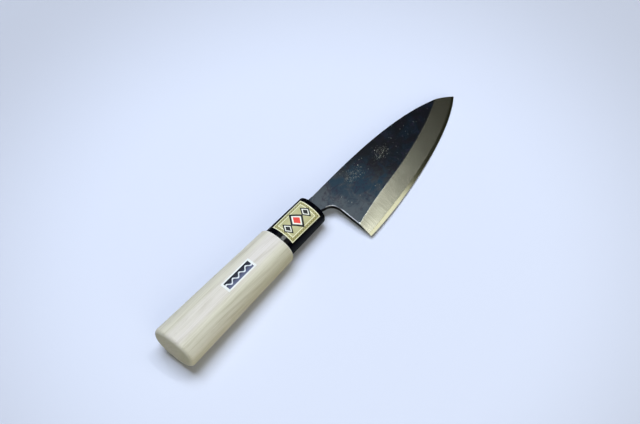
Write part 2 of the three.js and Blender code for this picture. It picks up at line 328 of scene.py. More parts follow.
def outline_slab(name, outline, thickness):
    """A circle whose points are laid along an outline, drawn out to a slab about z = 0."""
    bpy.ops.mesh.primitive_circle_add(vertices=len(outline), radius=1, fill_type="NGON")
    slab = named(name)
    for point, (x, y) in zip(slab.data.vertices, outline):
        point.co = (x, y, -thickness / 2)
    edit(slab)
    bpy.ops.mesh.select_all(action="SELECT")
    bpy.ops.mesh.extrude_region_move(TRANSFORM_OT_translate={"value": (0, 0, thickness)})
    tidy_skin()
    done()
    return slab


def tang_room(clearance):
    """A cutter in the tang's own shape, grown by a clearance."""
    outline = [
        (-TANG_LENGTH - clearance, TANG_END_HEIGHT + clearance),
        (-TANG_LENGTH - clearance, -TANG_END_DEPTH - clearance),
        (0, -NECK_DEPTH - clearance),
        (CUT_MARGIN, -NECK_DEPTH - clearance),
        (CUT_MARGIN, SPINE_HEIGHT + clearance),
        (0, SPINE_HEIGHT + clearance),
    ]
    return outline_slab("tang_room", outline, BLADE_THICKNESS + 2 * clearance)


def seal_block(name, inset, rear_x, front_x):
    """A block with rounded corners around the tang."""
    half = BLADE_THICKNESS / 2 + SEAL_MARGIN - inset
    low = (rear_x, -NECK_DEPTH - SEAL_MARGIN + inset, -half)
    high = (front_x, SPINE_HEIGHT + SEAL_MARGIN - inset, half)
    seal = block(name, low, high)
    edit(seal)
    pick(seal, "EDGE", lambda e: abs(e.verts[0].co.x - e.verts[1].co.x) > (front_x - rear_x) / 2)
    bpy.ops.mesh.bevel(offset=SEAL_CORNER - inset, segments=ROUND_STEPS, affect="EDGES")
    done()
    return seal


def wooden_handle():
    """Tapered oval wood with a tenon for the ferrule and a socket for the tang."""
    tenon = ferrule_rings(SHOULDER[0], -FERRULE_FRONT_WALL - GLUE_GAP, FERRULE_WALL + GLUE_GAP)
    handle = oval_solid("wooden_handle", taper_rings(BUTT, SHOULDER, BUTT_ROUND, SHOULDER_ROUND) + tenon)
    cut(handle, tang_room(TANG_CLEARANCE))
    return handle


def moulded_ferrule():
    """Cap over the tenon, with a slot for the tang and room for the resin."""
    rings = taper_rings(FERRULE_REAR, FERRULE_FRONT, FERRULE_REAR_ROUND, FERRULE_ROUND)
    ferrule = oval_solid("moulded_ferrule", rings)
    cavity = ferrule_rings(-FERRULE_LENGTH - CUT_MARGIN, -FERRULE_FRONT_WALL, FERRULE_WALL)
    cut(ferrule, oval_solid("cavity", cavity))
    cut(ferrule, tang_room(TANG_CLEARANCE))
    cut(ferrule, seal_block("seal_room", 0, -SEAL_DEPTH, CUT_MARGIN))
    return ferrule


def resin_seal():
    """Cast resin in the ferrule's front slot, dished between the tang and the slot's wall."""
    seal = seal_block("resin_seal", SEAL_GAP, -SEAL_DEPTH + SEAL_GAP, 0)
    edit(seal)
    front = lambda face: face.normal.x > FRONT_NORMAL
    for share in DISH_STEPS:
        pick(seal, "FACE", front)
        bpy.ops.mesh.inset(thickness=SEAL_MARGIN * share * 0.5)
        bpy.ops.transform.translate(value=(-SEAL_DISH * share, 0, 0))
    tidy_skin()
    done()
    cut(seal, tang_room(SEAL_GAP))
    return seal


# Blade

def bezier(points, t):
    a, b, c, d = (Vector(point) for point in points)
    return a * (1 - t) ** 3 + b * 3 * (1 - t) ** 2 * t + c * 3 * (1 - t) * t ** 2 + d * t ** 3


EDGE_CURVE = [
    (HEEL_X, -HEEL_DEPTH),
    (HEEL_X + EDGE_HEEL_RUN, -HEEL_DEPTH - EDGE_HEEL_FALL),
    (TIP_X - EDGE_TIP_RUN, -TIP_DEPTH - EDGE_TIP_FALL),
    (TIP_X, -TIP_DEPTH),
]
SPINE_CURVE = [
    (SPINE_STRAIGHT, SPINE_HEIGHT),
    (SPINE_STRAIGHT + SPINE_EASE, SPINE_HEIGHT),
    (TIP_X - SPINE_TIP_RUN, -TIP_DEPTH + SPINE_TIP_RISE),
    (TIP_X, -TIP_DEPTH),
]


def height_at(curve, x):
    """Height of a curve that runs forwards, at a place along the knife."""
    low, high = 0.0, 1.0
    for _ in range(CURVE_HALVINGS):
        middle = (low + high) / 2
        if bezier(curve, middle).x < x:
            low = middle
        else:
            high = middle
    return bezier(curve, low).y


def spine_at(x):
    return SPINE_HEIGHT if x <= SPINE_STRAIGHT else height_at(SPINE_CURVE, x)


def bevel_height(x):
    left = max(0, 1 - (x - HEEL_X) / BEVEL_EASE)
    return BEVEL_HEIGHT - (BEVEL_HEIGHT - BEVEL_HEEL_HEIGHT) * left ** 2


CORNER = Vector((HEEL_X + HEEL_RAKE, -NECK_DEPTH - NECK_FALL))
NECK = Vector((0, -NECK_DEPTH))
HEEL = Vector((HEEL_X, -HEEL_DEPTH))
NOTCH_REAR = CORNER + (NECK - CORNER).normalized() * CHOIL_NECK_RUN
NOTCH_FRONT = CORNER + (HEEL - CORNER).normalized() * CHOIL_HEEL_RUN


def blade_row(share):
    """Points across the front of the blade, from cutting edge to spine, at a share of the edge."""
    edge = bezier(EDGE_CURVE, share)
    lean = (CORNER - HEEL).x / (CORNER - HEEL).y * max(0, 1 - (edge.x - HEEL_X) / LEAN_FADE)
    spine_x = edge.x + lean * (SPINE_HEIGHT - edge.y)
    spine_y = max(edge.y, spine_at(spine_x))
    height = bevel_height(edge.x)
    slope = (FRONT_Z - EDGE_Z) / height
    line_y = min(edge.y + height, spine_y)
    heel_line = HEEL.y + BEVEL_HEEL_HEIGHT
    level = (NOTCH_FRONT.y - heel_line) / (SPINE_HEIGHT - heel_line)
    level_y = line_y + (spine_y - line_y) * level
    stops = [
        (edge.y, line_y, BEVEL_COLUMNS),
        (line_y, level_y, LOWER_COLUMNS),
        (level_y, spine_y, UPPER_COLUMNS),
    ]
    heights = [edge.y]
    for start, end, columns in stops:
        heights += [start + (end - start) * (column + 1) / columns for column in range(columns)]
    return [
        Vector((edge.x + lean * (y - edge.y), y, EDGE_Z + slope * min(y - edge.y, height)))
        for y in heights
    ]


def neck_rows():
    """Points across the neck and the tang, from the finger notch backwards to the tang's end."""
    first = blade_row(0)[-UPPER_COLUMNS - 1:]
    rows = []
    for step in range(1, CHOIL_ROWS + 1):
        t = step / CHOIL_ROWS
        low = NOTCH_FRONT * (1 - t) ** 2 + CORNER * 2 * (1 - t) * t + NOTCH_REAR * t ** 2
        top_x = first[-1].x + (NOTCH_REAR.x - first[-1].x) * t
        rows.append((low, Vector((top_x, SPINE_HEIGHT))))
    rows.append((NECK, Vector((0, SPINE_HEIGHT))))
    rows.append((Vector((-TANG_LENGTH, -TANG_END_DEPTH)), Vector((-TANG_LENGTH, TANG_END_HEIGHT))))
    shares = [column / UPPER_COLUMNS for column in range(UPPER_COLUMNS + 1)]
    front = Vector((0, 0, FRONT_Z))
    return [[low.lerp(top, share).to_3d() + front for share in shares] for low, top in rows]


ON_FLAT, ON_BEVEL, ON_RIM, ON_SIDE, ON_LINE = range(5)


def ground_blade():
    """The whole blade: a grid laid on its bevelled side, drawn out to the back.

    Flat, bevel, rubbed rims, sides and bevel line have a material each.
    """
    columns = BEVEL_COLUMNS + LOWER_COLUMNS + UPPER_COLUMNS
    bpy.ops.mesh.primitive_grid_add(x_subdivisions=BLADE_ROWS, y_subdivisions=columns, size=2)
    blade = named("ground_blade")
    for finish in (forge_scale, ground_iron, rubbed_rim, dull_scale, burnished_line):
        blade.data.materials.append(finish)
    rows = [blade_row(row / BLADE_ROWS) for row in range(BLADE_ROWS + 1)]
    for point in blade.data.vertices:
        row = round((point.co.x + 1) / 2 * BLADE_ROWS)
        column = round((point.co.y + 1) / 2 * columns)
        point.co = rows[row][column]
    edit(blade)
    pick(blade, "FACE", lambda face: face.normal.z < FLAT_NORMAL)
    for face in bmesh.from_edit_mesh(blade.data).faces:
        face.material_index = ON_BEVEL if face.select else ON_FLAT
    rounded = lambda place: tuple(round(c, PLACE_DIGITS) for c in place)
    first_row = {rounded(point) for point in rows[0][-UPPER_COLUMNS - 1:]}
    on_row = lambda vert: rounded(vert.co) in first_row
    pick(blade, "EDGE", lambda edge: all(on_row(vert) for vert in edge.verts))
    for row in neck_rows():
        bpy.ops.mesh.extrude_region_move(TRANSFORM_OT_translate={"value": (0, 0, 0)})
        shape = bmesh.from_edit_mesh(blade.data)
        moved = sorted((vert for vert in shape.verts if vert.select), key=lambda vert: vert.co.y)
        for vert, place in zip(moved, row):
            vert.co = place
        bmesh.update_edit_mesh(blade.data)
    bpy.ops.mesh.select_all(action="SELECT")
    bpy.ops.mesh.extrude_region_move(TRANSFORM_OT_translate={"value": (0, 0, -BLADE_THICKNESS)})
    shape = bmesh.from_edit_mesh(blade.data)
    for vert in shape.verts:
        if vert.select:
            vert.co.z = BACK_Z
    bmesh.update_edit_mesh(blade.data)
    tidy_skin()
    pick(blade, "FACE", lambda face: abs(face.normal.z) < SIDE_NORMAL)
    for face in bmesh.from_edit_mesh(blade.data).faces:
        if face.select:
            face.material_index = ON_SIDE
    rub_rims(blade)
    done()
    return blade


def rub_rims(blade):
    """Rounds the rims and the bevel line a little, in edit mode."""
    thick = EDGE_Z + BLADE_THICKNESS / 3
    stop_x = TIP_X - BEVEL_HEIGHT

    def rim(edge):
        ends = [vert.co for vert in edge.verts]
        if not edge.is_manifold or edge.calc_face_angle() < RIM_ANGLE:
            return False
        across = abs(ends[0].z - ends[1].z) > LINE_ROUND
        near_edge = any(end.y < height_at(EDGE_CURVE, end.x) + RIM_CLEAR and end.x > HEEL_X for end in ends)
        return not across and not near_edge and all(RIM_START < end.x < TIP_X - RIM_STOP for end in ends)

    def bevel_line(edge):
        if not edge.is_manifold or not LINE_ANGLES[0] < edge.calc_face_angle() < LINE_ANGLES[1]:
            return False
        return all(end.co.z > thick and end.co.x < stop_x for end in edge.verts)

    pick(blade, "EDGE", bevel_line)
    bpy.ops.mesh.bevel(offset=LINE_ROUND, segments=LINE_SEGMENTS, affect="EDGES", material=ON_LINE)
    pick(blade, "EDGE", rim)
    bpy.ops.mesh.bevel(offset=RIM_ROUND, segments=RIM_SEGMENTS, affect="EDGES", material=ON_RIM)


def copied(piece, name):
    only(piece)
    bpy.ops.object.duplicate()
    return named(name)


def hollow_share(x, y):
    """How deep the back's hollow is at a place: 0 on the flat around it, 1 in its middle."""
    edge_y = height_at(EDGE_CURVE, max(x, HEEL_X))
    spine_y = spine_at(x)
    room = (spine_y - HOLLOW_SPINE) - (edge_y + HOLLOW_EDGE)
    if room <= 0:
        return 0
    across = (y - edge_y - HOLLOW_EDGE) / room
    along = (x - HEEL_X - HOLLOW_HEEL) / (TIP_X - HEEL_X - HOLLOW_HEEL - BEVEL_HEIGHT)
    if not 0 < across < 1 or not 0 < along < 1:
        return 0
    ends = min(1, HOLLOW_HEEL_EASE * along) * min(1, HOLLOW_TIP_EASE * (1 - along))
    return 4 * across * (1 - across) * ends


def steel_layer(blade):
    """The hard steel on the back of the blade, with its hollow."""
    steel = copied(blade, "hard_steel_layer")
    edit(steel)
    bpy.ops.mesh.select_all(action="SELECT")
    top = (HEEL_X, 0, BACK_Z + STEEL_THICKNESS)
    bpy.ops.mesh.bisect(plane_co=top, plane_no=(STEEL_TAPER, 0, 1), use_fill=True, clear_outer=True)
    bpy.ops.mesh.select_all(action="SELECT")
    rear = (STEEL_REAR, 0, 0)
    bpy.ops.mesh.bisect(plane_co=rear, plane_no=(1, 0, 0), use_fill=True, clear_inner=True)
    tidy_skin()
    done()
    hollow = steel.data.attributes.new("hollow", "FLOAT", "POINT")
    for point in steel.data.vertices:
        share = hollow_share(point.co.x, point.co.y) if point.co.z < BACK_LIMIT_Z else 0
        hollow.data[point.index].value = min(1, HOLLOW_SCALE * share)
        point.co.z += HOLLOW_DEPTH * share
    steel.data.materials.clear()
    steel.data.materials.append(hard_steel)
    steel.data.materials.append(dull_scale)
    for face in steel.data.polygons:
        at_edge = face.center.y < height_at(EDGE_CURVE, max(face.center.x, HEEL_X)) + EDGE_THICKNESS
        bare = face.normal.z < -SIDE_NORMAL or SIDE_NORMAL < face.normal.z < FLAT_NORMAL
        face.material_index = int(not bare and not at_edge)
    return steel


def iron_body(blade):
    """The blade's soft-iron body: the whole blade less the room of its steel layer."""
    body = copied(blade, "forged_blade")
    low = (STEEL_REAR - WELD_GAP, -HEEL_DEPTH - CUT_MARGIN * 2, BACK_Z - CUT_MARGIN)
    high = (TIP_X + CUT_MARGIN, SPINE_HEIGHT + CUT_MARGIN, BACK_Z + STEEL_THICKNESS + WELD_GAP)
    room = block("steel_room", low, high)
    for point in room.data.vertices:
        if point.co.z > BACK_Z:
            point.co.z -= STEEL_TAPER * (point.co.x - HEEL_X)
    cut(body, room)
    return body


# Labels

def arc_places(width, thickness, low, high, columns):
    """Evenly spaced points over the top of an oval, from one side to the other, and their length."""
    fine = [low + (high - low) * step / ARC_STEPS for step in range(ARC_STEPS + 1)]
    arc = [(y, thickness / 2 * (1 - abs(2 * y / width) ** OVAL_POWER) ** (1 / OVAL_POWER)) for y in fine]
    lengths = [0.0]
    for (y0, z0), (y1, z1) in zip(arc, arc[1:]):
        lengths.append(lengths[-1] + math.hypot(y1 - y0, z1 - z0))
    places, index = [], 0
    for column in range(columns + 1):
        target = lengths[-1] * column / columns
        while index < len(fine) - 2 and lengths[index + 1] < target:
            index += 1
        places.append(arc[index] if column < columns else arc[-1])
    return places, lengths[-1]


def label(name, rear, front, front_x, length, low, high, finish):
    """Printed paper stuck over the top of an oval: a grid laid on it and thickened."""
    bpy.ops.mesh.primitive_grid_add(
        x_subdivisions=LABEL_ROWS, y_subdivisions=LABEL_COLUMNS, size=2, calc_uvs=True,
    )
    paper = named(name)
    for point in paper.data.vertices:
        x = front_x - length * (1 - point.co.x) / 2
        column = round((point.co.y + 1) / 2 * LABEL_COLUMNS)
        _, middle, *sizes = ring_at(rear, front, x, -PAPER_GAP)
        places, _ = arc_places(*sizes, low - middle, high - middle, LABEL_COLUMNS)
        across, up = places[column]
        point.co = (x, middle + across, up)
    apply_modifier(paper, "SOLIDIFY", thickness=PAPER_THICKNESS, offset=1)
    paper.data.materials.append(finish)
    return paper


def set_down(piece, node, smooth=SMOOTH_ANGLE):
    """Puts a finished piece where the knife lies, smooths it and hides the imported part it stands for."""
    piece.data.transform(KNIFE @ Matrix.Scale(MM, 4))
    only(piece)
    bpy.ops.object.shade_smooth_by_angle(angle=math.radians(smooth))
    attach(piece, "root")
    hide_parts(node)


# Finishes

class Tap:
    """A socket that a pattern comes out of. Arithmetic on it adds Math nodes."""

    def __init__(self, finish, socket):
        self.finish = finish
        self.socket = socket

    def math(self, operation, *values, clamp=False):
        settings = {"operation": operation, "use_clamp": clamp}
        return self.finish.node("ShaderNodeMath", settings, dict(enumerate(values)))

    def __add__(self, other):
        return self.math("ADD", self, other)

    def __radd__(self, other):
        return self.math("ADD", other, self)

    def __sub__(self, other):
        return self.math("SUBTRACT", self, other)

    def __rsub__(self, other):
        return self.math("SUBTRACT", other, self)

    def __mul__(self, other):
        return self.math("MULTIPLY", self, other)

    def __rmul__(self, other):
        return self.math("MULTIPLY", other, self)

    def __truediv__(self, other):
        return self.math("DIVIDE", self, other)

    def __rtruediv__(self, other):
        return self.math("DIVIDE", other, self)

    def __pow__(self, other):
        return self.math("POWER", self, other)

    def __neg__(self):
        return self.math("MULTIPLY", self, -1.0)

    def __abs__(self):
        return self.math("ABSOLUTE", self)

    def sine(self):
        return self.math("SINE", self)

    def least(self, other):
        return self.math("MINIMUM", self, other)

    def most(self, other):
        return self.math("MAXIMUM", self, other)

    def between(self, low, high):
        """0 up to low, 1 from high on, and a smooth step between them."""
        settings = {"interpolation_type": "SMOOTHSTEP", "clamp": True}
        sockets = {"Value": self, "From Min": low, "From Max": high, "To Min": 0.0, "To Max": 1.0}
        return self.finish.node("ShaderNodeMapRange", settings, sockets)


class Finish:
    """One material. Constants are set on the shader's own sockets."""

    def __init__(self, name, **constants):
        self.material = bpy.data.materials.new(name)
        self.material.use_nodes = True
        self.tree = self.material.node_tree
        self.shader = self.tree.nodes["Principled BSDF"]
        for socket, value in constants.items():
            self.shader.inputs[socket.replace("_", " ")].default_value = value

    def feed(self, socket, value):
        if isinstance(value, Tap):
            self.tree.links.new(value.socket, socket)
        elif socket.type == "RGBA" and len(value) == 3:
            socket.default_value = (*value, 1)
        else:
            socket.default_value = value

    def node(self, kind, settings=None, sockets=None, out=0):
        made = self.tree.nodes.new(kind)
        for name, value in (settings or {}).items():
            setattr(made, name, value)
        for key, value in (sockets or {}).items():
            self.feed(made.inputs[key], value)
        return Tap(self, made.outputs[out])

    def knife(self):
        """Places on the knife's own axes, in millimetres."""
        back = KNIFE.inverted()
        sockets = {
            "Vector": self.node("ShaderNodeTexCoord", out="Object"),
            "Location": back.to_translation() / MM,
            "Rotation": back.to_euler(),
            "Scale": (1 / MM, 1 / MM, 1 / MM),
        }
        return self.node("ShaderNodeMapping", {"vector_type": "POINT"}, sockets)

    def split(self, vector):
        parts = self.node("ShaderNodeSeparateXYZ", sockets={0: vector})
        outputs = parts.socket.node.outputs
        return [Tap(self, outputs[axis]) for axis in "XYZ"]

    def stretched(self, vector, *scales):
        return self.node("ShaderNodeVectorMath", {"operation": "MULTIPLY"}, {0: vector, 1: scales})

    def noise(self, vector, scales, detail=3.0, roughness=0.55, distortion=0.0):
        sockets = {
            "Vector": self.stretched(vector, *scales), "Scale": 1.0, "Detail": detail,
            "Roughness": roughness, "Distortion": distortion,
        }
        return self.node("ShaderNodeTexNoise", sockets=sockets)

    def mix(self, share, first, second):
        """First colour at share 0, second at share 1."""
        settings = {"data_type": "RGBA", "clamp_factor": True}
        return self.node("ShaderNodeMix", settings, {0: share, 6: first, 7: second}, out=2)

    def bump(self, height, distance, strength=1.0):
        sockets = {"Height": height, "Distance": distance * MM, "Strength": strength}
        return self.node("ShaderNodeBump", sockets=sockets)

    def wear(self, **sockets):
        """Feeds patterns to the surface shader and hands over the material."""
        for socket, value in sockets.items():
            self.feed(self.shader.inputs[socket.replace("_", " ")], value)
        return self.material


RING_SPACING = 3.1
HEART_Y, HEART_Z = 62, 48  # how far the tree's heart lies from the handle's middle


def sanded_wood():
    """Pale straight-grained wood, sanded and not lacquered, with painted light and shade across the handle
    and a painted highlight along the shoulder's rim.
    """
    wood = Finish("sanded_pale_wood", Specular_IOR_Level=0.35)
    place = wood.knife()
    x, y, z = wood.split(place)
    wander = wood.noise(place, (0.014, 0.07, 0.07), detail=2) - 0.5
    rings_y = y + x * 0.045 + wander * 9 + HEART_Y
    rings_z = z + wander * 4 + HEART_Z
    radius = (rings_y ** 2 + rings_z ** 2) ** 0.5
    ring = (radius * (math.tau / RING_SPACING)).sine() * 0.5 + 0.5
    broad = wood.noise(place, (0.02, 0.16, 0.16), detail=2)
    fibre = wood.noise(place, (0.035, 1.5, 1.5), detail=4, roughness=0.6)
    fine = wood.noise(place, (0.12, 6.5, 6.5), detail=2)
    late_wood = ring ** 2 * broad.between(0.35, 0.7)
    streak = late_wood * 0.55 + fibre.between(0.42, 0.75) * 0.5 + broad * 0.2
    pore = wood.noise(place, (0.22, 5.2, 5.2), detail=1).between(0.66, 0.74)
    tone = wood.noise(place, (0.008, 0.085, 0.085), detail=1).between(0.38, 0.62)
    pale = wood.mix(tone, (0.775, 0.735, 0.635), (0.815, 0.77, 0.715))
    colour = wood.mix(streak, pale, (0.575, 0.53, 0.43))
    colour = wood.mix(pore * 0.24, colour, (0.36, 0.31, 0.21))
    colour = wood.mix(fine.between(0.3, 0.9) * 0.25, colour, (0.84, 0.81, 0.74))
    # Painted light and shade across the handle: the cutting-edge flank is darkened and warmed as painted
    # shade, the top is whitened as painted light, and the spine side is a little darker.
    shaded_flank = (-y).between(4.5, 8.5) * (1 - (-y).between(11.5, 13.5))
    colour = wood.mix(shaded_flank, colour, wood.stretched(colour, 0.84, 0.84, 0.79))
    lit_crown = 1 - abs(y - 0.5).between(3, 6)
    colour = wood.mix(lit_crown, colour, wood.stretched(colour, 1.0, 0.985, 1.06))
    colour = wood.mix(y.between(4, 9), colour, wood.stretched(colour, 0.93, 0.925, 0.91))
    end = (-x - (FERRULE_LENGTH + WOOD_LENGTH - BUTT_ROUND * 0.5)).between(0, BUTT_ROUND * 0.4)
    speck = wood.noise(place, (3.5, 3.5, 3.5), detail=2).between(0.4, 0.75)
    # Painted highlight: a pale line along the rounded rim of the shoulder.
    rim = (x + FERRULE_LENGTH + SHOULDER_ROUND * 1.2).between(0, SHOULDER_ROUND)
    colour = wood.mix(rim * 0.85, colour, (0.94, 0.93, 0.88))
    colour = wood.mix(end * (0.5 + speck * 0.4), colour, (0.65, 0.64, 0.60))
    rough = 0.58 + fibre * 0.16
    height = fibre * 0.7 + pore * -0.6 + fine * 0.3
    return wood.wear(Base_Color=colour, Roughness=rough, Normal=wood.bump(height, 0.05))


def black_plastic():
    """Moulded plastic under a thin gloss, with faint rubbing."""
    gloss = {"Specular_IOR_Level": 0.0, "Coat_Weight": 0.15, "Coat_Roughness": 0.09}
    plastic = Finish("black_moulded_plastic", **gloss)
    place = plastic.knife()
    ripple = plastic.noise(place, (0.35, 0.5, 0.5), detail=2)
    rub = plastic.noise(place, (0.5, 3.5, 3.5), detail=4, roughness=0.7).between(0.5, 0.8)
    colour = plastic.mix(rub, (0.001, 0.001, 0.003), (0.005, 0.005, 0.009))
    rough = 0.09 + rub * 0.05
    return plastic.wear(Base_Color=colour, Roughness=rough, Normal=plastic.bump(ripple, 0.03, 0.4))


def dark_resin():
    """Cast resin, dull and a little cloudy."""
    resin = Finish("dark_cast_resin", Specular_IOR_Level=0.5)
    place = resin.knife()
    cloud = resin.noise(place, (1.4, 1.4, 1.4), detail=3)
    colour = resin.mix(cloud, (0.010, 0.009, 0.010), (0.035, 0.031, 0.030))
    return resin.wear(Base_Color=colour, Roughness=0.32 + cloud * 0.3, Normal=resin.bump(cloud, 0.08))


def scale_and_specks(metal, place):
    """Colours of black forge scale: blue and purple clouds with worn specks, over a painted sheen that
    fades from slate grey at the neck to black towards the tip.
    """
    x, y, _ = metal.split(place)
    cloud = metal.noise(place, (0.085, 0.10, 0.10), detail=4, roughness=0.6, distortion=0.6)
    vein = metal.noise(place, (0.20, 0.24, 0.24), detail=5, roughness=0.65, distortion=1.4)
    grit = metal.noise(place, (2.6, 2.6, 2.6), detail=3)
    # Painted reflection: slate grey near the neck, fading to black towards the tip.
    sheen_fade = (x + y * 0.7 + vein * 24 - 8).between(2, 50)
    colour = metal.mix(sheen_fade, (0.074, 0.088, 0.106), (0.0015, 0.002, 0.0045))
    middle = sheen_fade * (1 - sheen_fade) * 4
    colour = metal.mix(cloud.between(0.44, 0.60) * (0.2 + middle * 0.7), colour, (0.003, 0.027, 0.054))
    colour = metal.mix(vein.between(0.50, 0.64) * (0.3 + middle * 0.3), colour, (0.016, 0.004, 0.022))
    colour = metal.mix(grit.between(0.4, 0.8) * 0.2, colour, (0.030, 0.034, 0.040))
    return colour, vein, grit


WORN_SPOTS = ((32, -3, 12, 8), (54, -5, 11, 7))  # middle x and y, half length and half height


def black_scale():
    """Black forge scale left on the blade, rubbed and flaked in places."""
    scale = Finish("black_forge_scale", Specular_IOR_Level=0.32)
    place = scale.knife()
    x, y, _ = scale.split(place)
    colour, vein, grit = scale_and_specks(scale, place)
    near, far = (
        1 - (((x - middle_x) / half_x) ** 2 + ((y - middle_y) / half_y) ** 2) ** 0.5
        for middle_x, middle_y, half_x, half_y in WORN_SPOTS
    )
    worn = near.most(far).between(-0.1, 0.7)
    flake = scale.noise(place, (0.9, 1.1, 1.1), detail=5, roughness=0.7, distortion=1.2)
    scratch = scale.noise(place, (0.5, 0.7, 0.7), detail=3, roughness=0.6, distortion=2.0)
    patch = (flake + worn * 0.08).between(0.66, 0.72)
    hair = 1 - abs(scratch - 0.5).between(0.006, 0.022)
    line = hair * (flake + worn * 0.22).between(0.72, 0.82)
    dots = scale.noise(place, (1.1, 1.1, 1.1), detail=2).between(0.73, 0.77)
    colour = scale.mix(patch * 0.25, colour, (0.16, 0.16, 0.10))
    colour = scale.mix(line.most(dots), colour, (0.52, 0.52, 0.44))
    rough = 0.10 + grit * 0.08 + vein * 0.08 + patch * 0.15
    height = grit * 0.5 + vein * 0.6 - patch * 0.4
    return scale.wear(Base_Color=colour, Roughness=rough, Normal=scale.bump(height, 0.006))


# Stretches along the blade: over the first the polished steel darkens as painted shade, over the second the
# rubbing on the rims fades out, over the third the bevel line darkens as painted shade
STEEL_SHADE_FADE = (44, 64)
DULL_RIM = (10.4, 14.4)
LINE_SHADE_FADE = (25, 55)

SHEEN_TILT = 12  # how the stones' work leans along the bevel,
SHEEN_FADE = 100  # how much more it leans past the heel,
SHEEN_FADE_PLACES = (12, 58)
SHEEN_LEVEL = 24  # and how level it keeps the bevel's narrow end


def satin_iron():
    """Bare iron of the bevel, ground across and rubbed with stones."""
    iron = Finish("ground_soft_iron", Metallic=1.0)
    place = iron.knife()
    x, y, _ = iron.split(place)
    stroke = iron.noise(place, (2.4, 0.12, 0.12), detail=4, roughness=0.65)
    long_stroke = iron.noise(place, (0.05, 1.6, 1.6), detail=3)
    cloud = iron.noise(place, (0.12, 0.2, 0.2), detail=3)
    colour = iron.mix(stroke.between(0.25, 0.75), (0.66, 0.67, 0.58), (0.88, 0.895, 0.80))
    colour = iron.mix(cloud.between(0.4, 0.7) * 0.2, colour, (0.64, 0.65, 0.56))
    rough = 0.13 + stroke * 0.05 + long_stroke * 0.04
    left = (1 - (x - HEEL_X) / BEVEL_EASE).most(0)
    level = (y + HEEL_DEPTH) * left ** 2 * SHEEN_LEVEL
    lean = x * SHEEN_TILT + x.between(*SHEEN_FADE_PLACES) * SHEEN_FADE + level
    height = stroke * 0.6 + long_stroke * 0.6 - lean
    return iron.wear(Base_Color=colour, Roughness=rough, Normal=iron.bump(height, 0.0015))


def bright_steel():
    """Polished hard steel, with dark scale left in the hollow of its back."""
    steel = Finish("polished_hard_steel")
    place = steel.knife()
    x, _, _ = steel.split(place)
    stroke = steel.noise(place, (0.06, 2.6, 2.6), detail=4)
    hollow = steel.node("ShaderNodeAttribute", {"attribute_name": "hollow"}, out="Fac").between(0.2, 0.5)
    scale, _, grit = scale_and_specks(steel, place)
    metal = steel.mix(stroke, (0.55, 0.55, 0.41), (0.68, 0.68, 0.54))
    # Painted shade: the polished steel is darkened towards the tip, where it reflects the dim room.
    metal = steel.mix(x.between(*STEEL_SHADE_FADE) * 0.8, metal, (0.36, 0.37, 0.26))
    colour = steel.mix(hollow, metal, scale)
    rough = (0.08 + stroke * 0.05) * (1 - hollow) + hollow * 0.5
    return steel.wear(
        Base_Color=colour, Metallic=1 - hollow * 0.9, Roughness=rough,
        Normal=steel.bump(stroke * (1 - hollow) + grit * hollow * 12, 0.0015),
    )


def rubbed_iron():
    """Scale rubbed through to grey iron along the rims."""
    iron = Finish("rubbed_iron_rim", Metallic=0.7)
    place = iron.knife()
    x, _, _ = iron.split(place)
    behind = 1 - x.between(*DULL_RIM) * 0.95
    rub = iron.noise(place, (0.5, 0.5, 0.5), detail=4).between(0.05, 0.3) * behind
    colour = iron.mix(rub, (0.012, 0.012, 0.016), (0.34, 0.34, 0.36))
    return iron.wear(Base_Color=colour, Roughness=0.45 - rub * 0.1)


def dark_sides():
    """Dull black scale on the blade's narrow sides."""
    scale = Finish("dull_black_scale", Specular_IOR_Level=0.04)
    place = scale.knife()
    grit = scale.noise(place, (1.8, 1.8, 1.8), detail=4)
    colour = scale.mix(grit.between(0.35, 0.7), (0.003, 0.003, 0.004), (0.014, 0.014, 0.016))
    return scale.wear(Base_Color=colour, Roughness=0.55 + grit * 0.2, Normal=scale.bump(grit, 0.02))


def bright_line():
    """Iron burnished along the bevel line."""
    iron = Finish("burnished_bevel_line", Metallic=1.0)
    place = iron.knife()
    x, _, _ = iron.split(place)
    wear = iron.noise(place, (0.3, 0.3, 0.3), detail=3)
    colour = iron.mix(wear, (0.62, 0.64, 0.58), (0.85, 0.86, 0.80))
    # Painted shade: the line is darkened towards the tip, so that its highlight fades there.
    colour = iron.mix(x.between(*LINE_SHADE_FADE) * 0.85, colour, (0.10, 0.10, 0.10))
    return iron.wear(Base_Color=colour, Roughness=0.16 + wear * 0.08)


def printed_paper(name, length, width, **constants):
    """A printed label's material, and places on it in millimetres from its middle."""
    paper = Finish(name, **constants)
    across = paper.node("ShaderNodeUVMap", {"uv_map": "UVMap"})
    u, v, _ = paper.split(across)
    return paper, (u - 0.5) * length, (v - 0.5) * width


LOZENGE_PITCH = 7.4
LOZENGE_HALF = 3.1
MIDDLE_LOZENGE_HALF = 4.9
LOZENGE_WIDENING = 1.1
WEAVE_PITCH = 1.7


